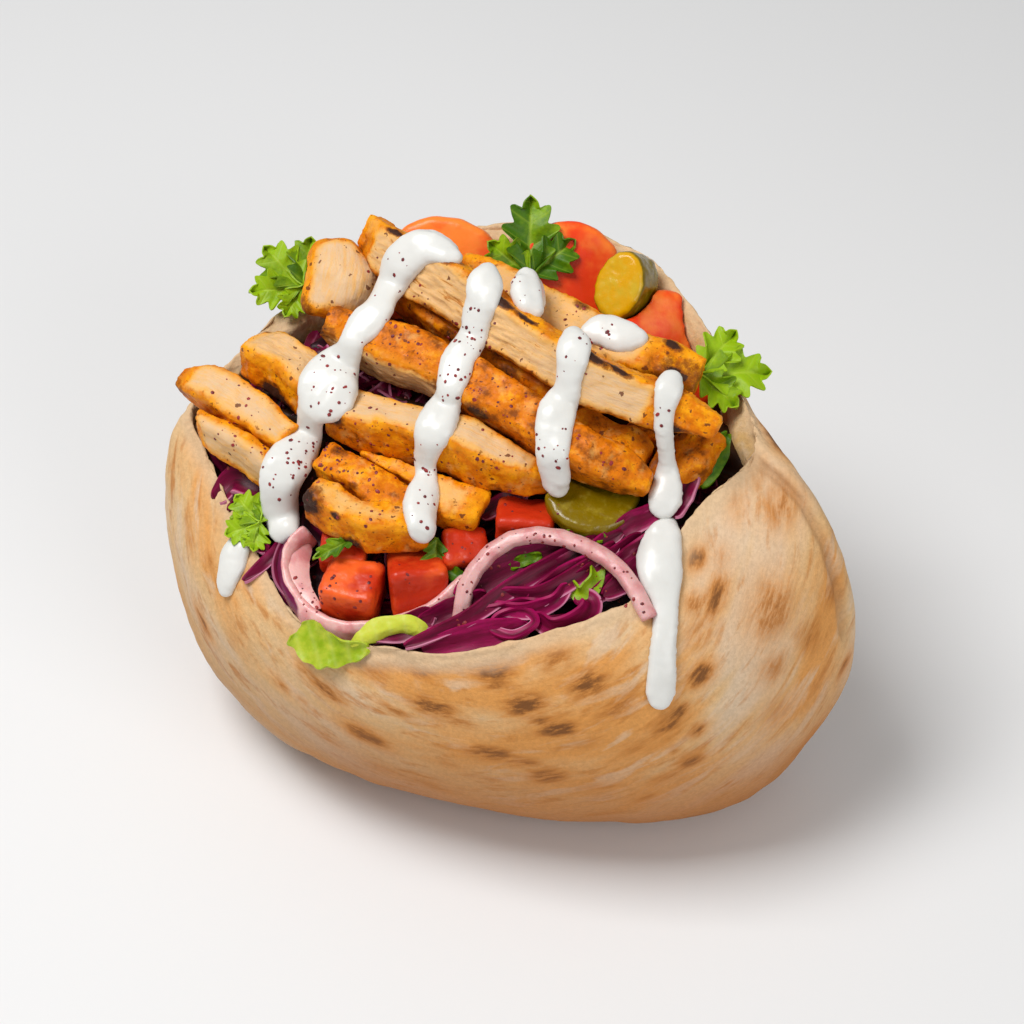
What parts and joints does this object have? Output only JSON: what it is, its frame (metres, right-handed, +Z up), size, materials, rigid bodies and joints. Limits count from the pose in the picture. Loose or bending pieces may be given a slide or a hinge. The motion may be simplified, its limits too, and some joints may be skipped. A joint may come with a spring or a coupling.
{
  "type": "doner kebab pita sandwich",
  "caption": "Round pita pocket standing open, heaped with grilled chicken strips, shredded salad, tomato, pickle, onion, herb leaves and trails of white sauce.",
  "frame": {"origin": "centre of the flat spot under the bread that the sandwich rests on", "axes": "+Z up, +X to the sandwich's right along its length, -Y towards its front, the low side of the mouth"},
  "size_m": [0.1777, 0.1255, 0.1248],
  "materials": {
    "bread": "dry baked flatbread, cream with golden and brown toasted spots",
    "chicken": "grilled chicken, golden to brown with charred edges and pale cut faces, slightly oily",
    "tomato": "wet red tomato with glossy skin",
    "pickle": "wet olive-green pickled cucumber with a dark skin",
    "onion": "wet pink-white red onion with purple skin edges",
    "lettuce": "fresh light-green lettuce leaf",
    "herb": "fresh green coriander leaf",
    "salad": "shredded red cabbage, glossy purple with pale cut edges, and green shreds",
    "sauce": "thick glossy white yoghurt sauce with dark red sumac flakes"
  },
  "bodies": {
    "root": {"pita_bread": "bread", "chicken_strip_01": "chicken", "chicken_strip_02": "chicken", "chicken_strip_03": "chicken", "chicken_strip_04": "chicken", "chicken_strip_05": "chicken", "chicken_strip_06": "chicken", "chicken_strip_07": "chicken", "chicken_strip_08": "chicken", "chicken_strip_09": "chicken", "chicken_strip_10": "chicken", "chicken_strip_11": "chicken", "chicken_strip_12": "chicken", "chicken_strip_13": "chicken", "chicken_strip_14": "chicken", "chicken_strip_15": "chicken", "pickle_slice_back": "pickle", "pickle_slice_front": "pickle", "tomato_cube_01": "tomato", "tomato_cube_02": "tomato", "tomato_cube_03": "tomato", "tomato_cube_04": "tomato", "tomato_cube_05": "tomato", "tomato_slice_01": "tomato", "tomato_slice_02": "tomato", "tomato_slice_03": "tomato", "onion_arch": "onion", "onion_ring": "onion", "lettuce_leaf_01": "lettuce", "lettuce_leaf_02": "lettuce", "herb_leaf_01": "herb", "herb_leaf_02": "herb", "herb_leaf_03": "herb", "herb_leaf_04": "herb", "herb_leaf_05": "herb", "herb_leaf_06": "herb", "salad_heap": "salad", "sauce_strand_1": "sauce", "sauce_strand_2": "sauce", "sauce_strand_3": "sauce", "sauce_strand_4": "sauce", "sauce_strand_5": "sauce", "sauce_strand_6": "sauce", "sauce_drip_right": "sauce", "sauce_drip_left": "sauce"}
  },
  "joints": []
}
